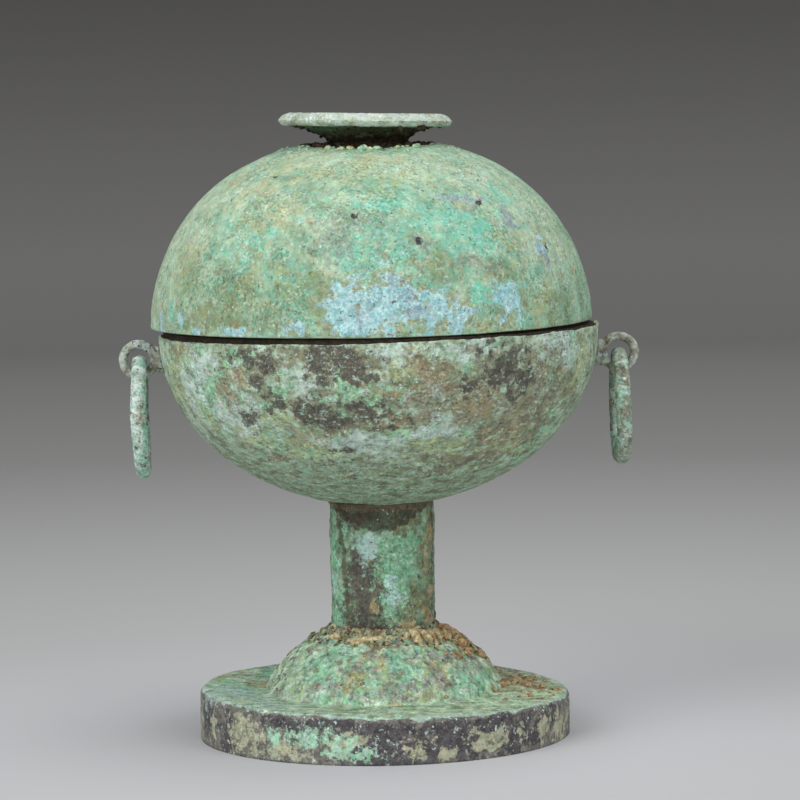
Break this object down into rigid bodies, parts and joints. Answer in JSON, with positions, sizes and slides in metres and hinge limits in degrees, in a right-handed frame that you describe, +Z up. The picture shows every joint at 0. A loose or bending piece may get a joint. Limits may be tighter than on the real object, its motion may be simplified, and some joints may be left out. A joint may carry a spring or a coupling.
{
  "type": "lidded bronze stem bowl",
  "caption": "Round bronze food vessel on a column and disc foot, with a domed lift-off lid, a flared disc knob and loose ring handles hanging from lugs at the rim.",
  "frame": {"origin": "centre of the foot's underside, on the surface that the vessel stands on", "axes": "+Z up along the stem, +X towards the right lug, -Y towards the side that the picture shows"},
  "size_m": [0.1632, 0.1382, 0.1961],
  "materials": {
    "lid_bronze": "pale green corrosion crust with ochre and light blue patches",
    "bowl_bronze": "brown-grey and green corrosion, matt",
    "stem_bronze": "turquoise and dark brown corrosion, matt",
    "foot_bronze": "green crust above, dark grey-brown edge",
    "ring_bronze": "grey-green, worn smooth",
    "solder": "dark rust-brown crust"
  },
  "bodies": {
    "vessel": {"foot": "foot_bronze", "foot_solder": "solder", "stem": "stem_bronze", "stem_solder": "solder", "bowl": "bowl_bronze", "left_lug": "ring_bronze", "right_lug": "ring_bronze"},
    "lid": {"lid_dome": "lid_bronze", "lid_knob": "lid_bronze", "knob_solder": "solder"},
    "left_handle": {"left_ring": "ring_bronze"},
    "right_handle": {"right_ring": "ring_bronze"}
  },
  "joints": [
    {"name": "lid_lift", "type": "slide", "parent": "vessel", "child": "lid", "axis": [0, 0, 1], "range_m": [0, 0.11]},
    {"name": "left_ring_swing", "type": "hinge", "parent": "vessel", "child": "left_handle", "pos_m": [-0.07526, 0, 0.11938], "axis": [0, 1, 0], "range_deg": [-33, 188]},
    {"name": "right_ring_swing", "type": "hinge", "parent": "vessel", "child": "right_handle", "pos_m": [0.07526, 0, 0.11938], "axis": [0, -1, 0], "range_deg": [-33, 194]}
  ]
}
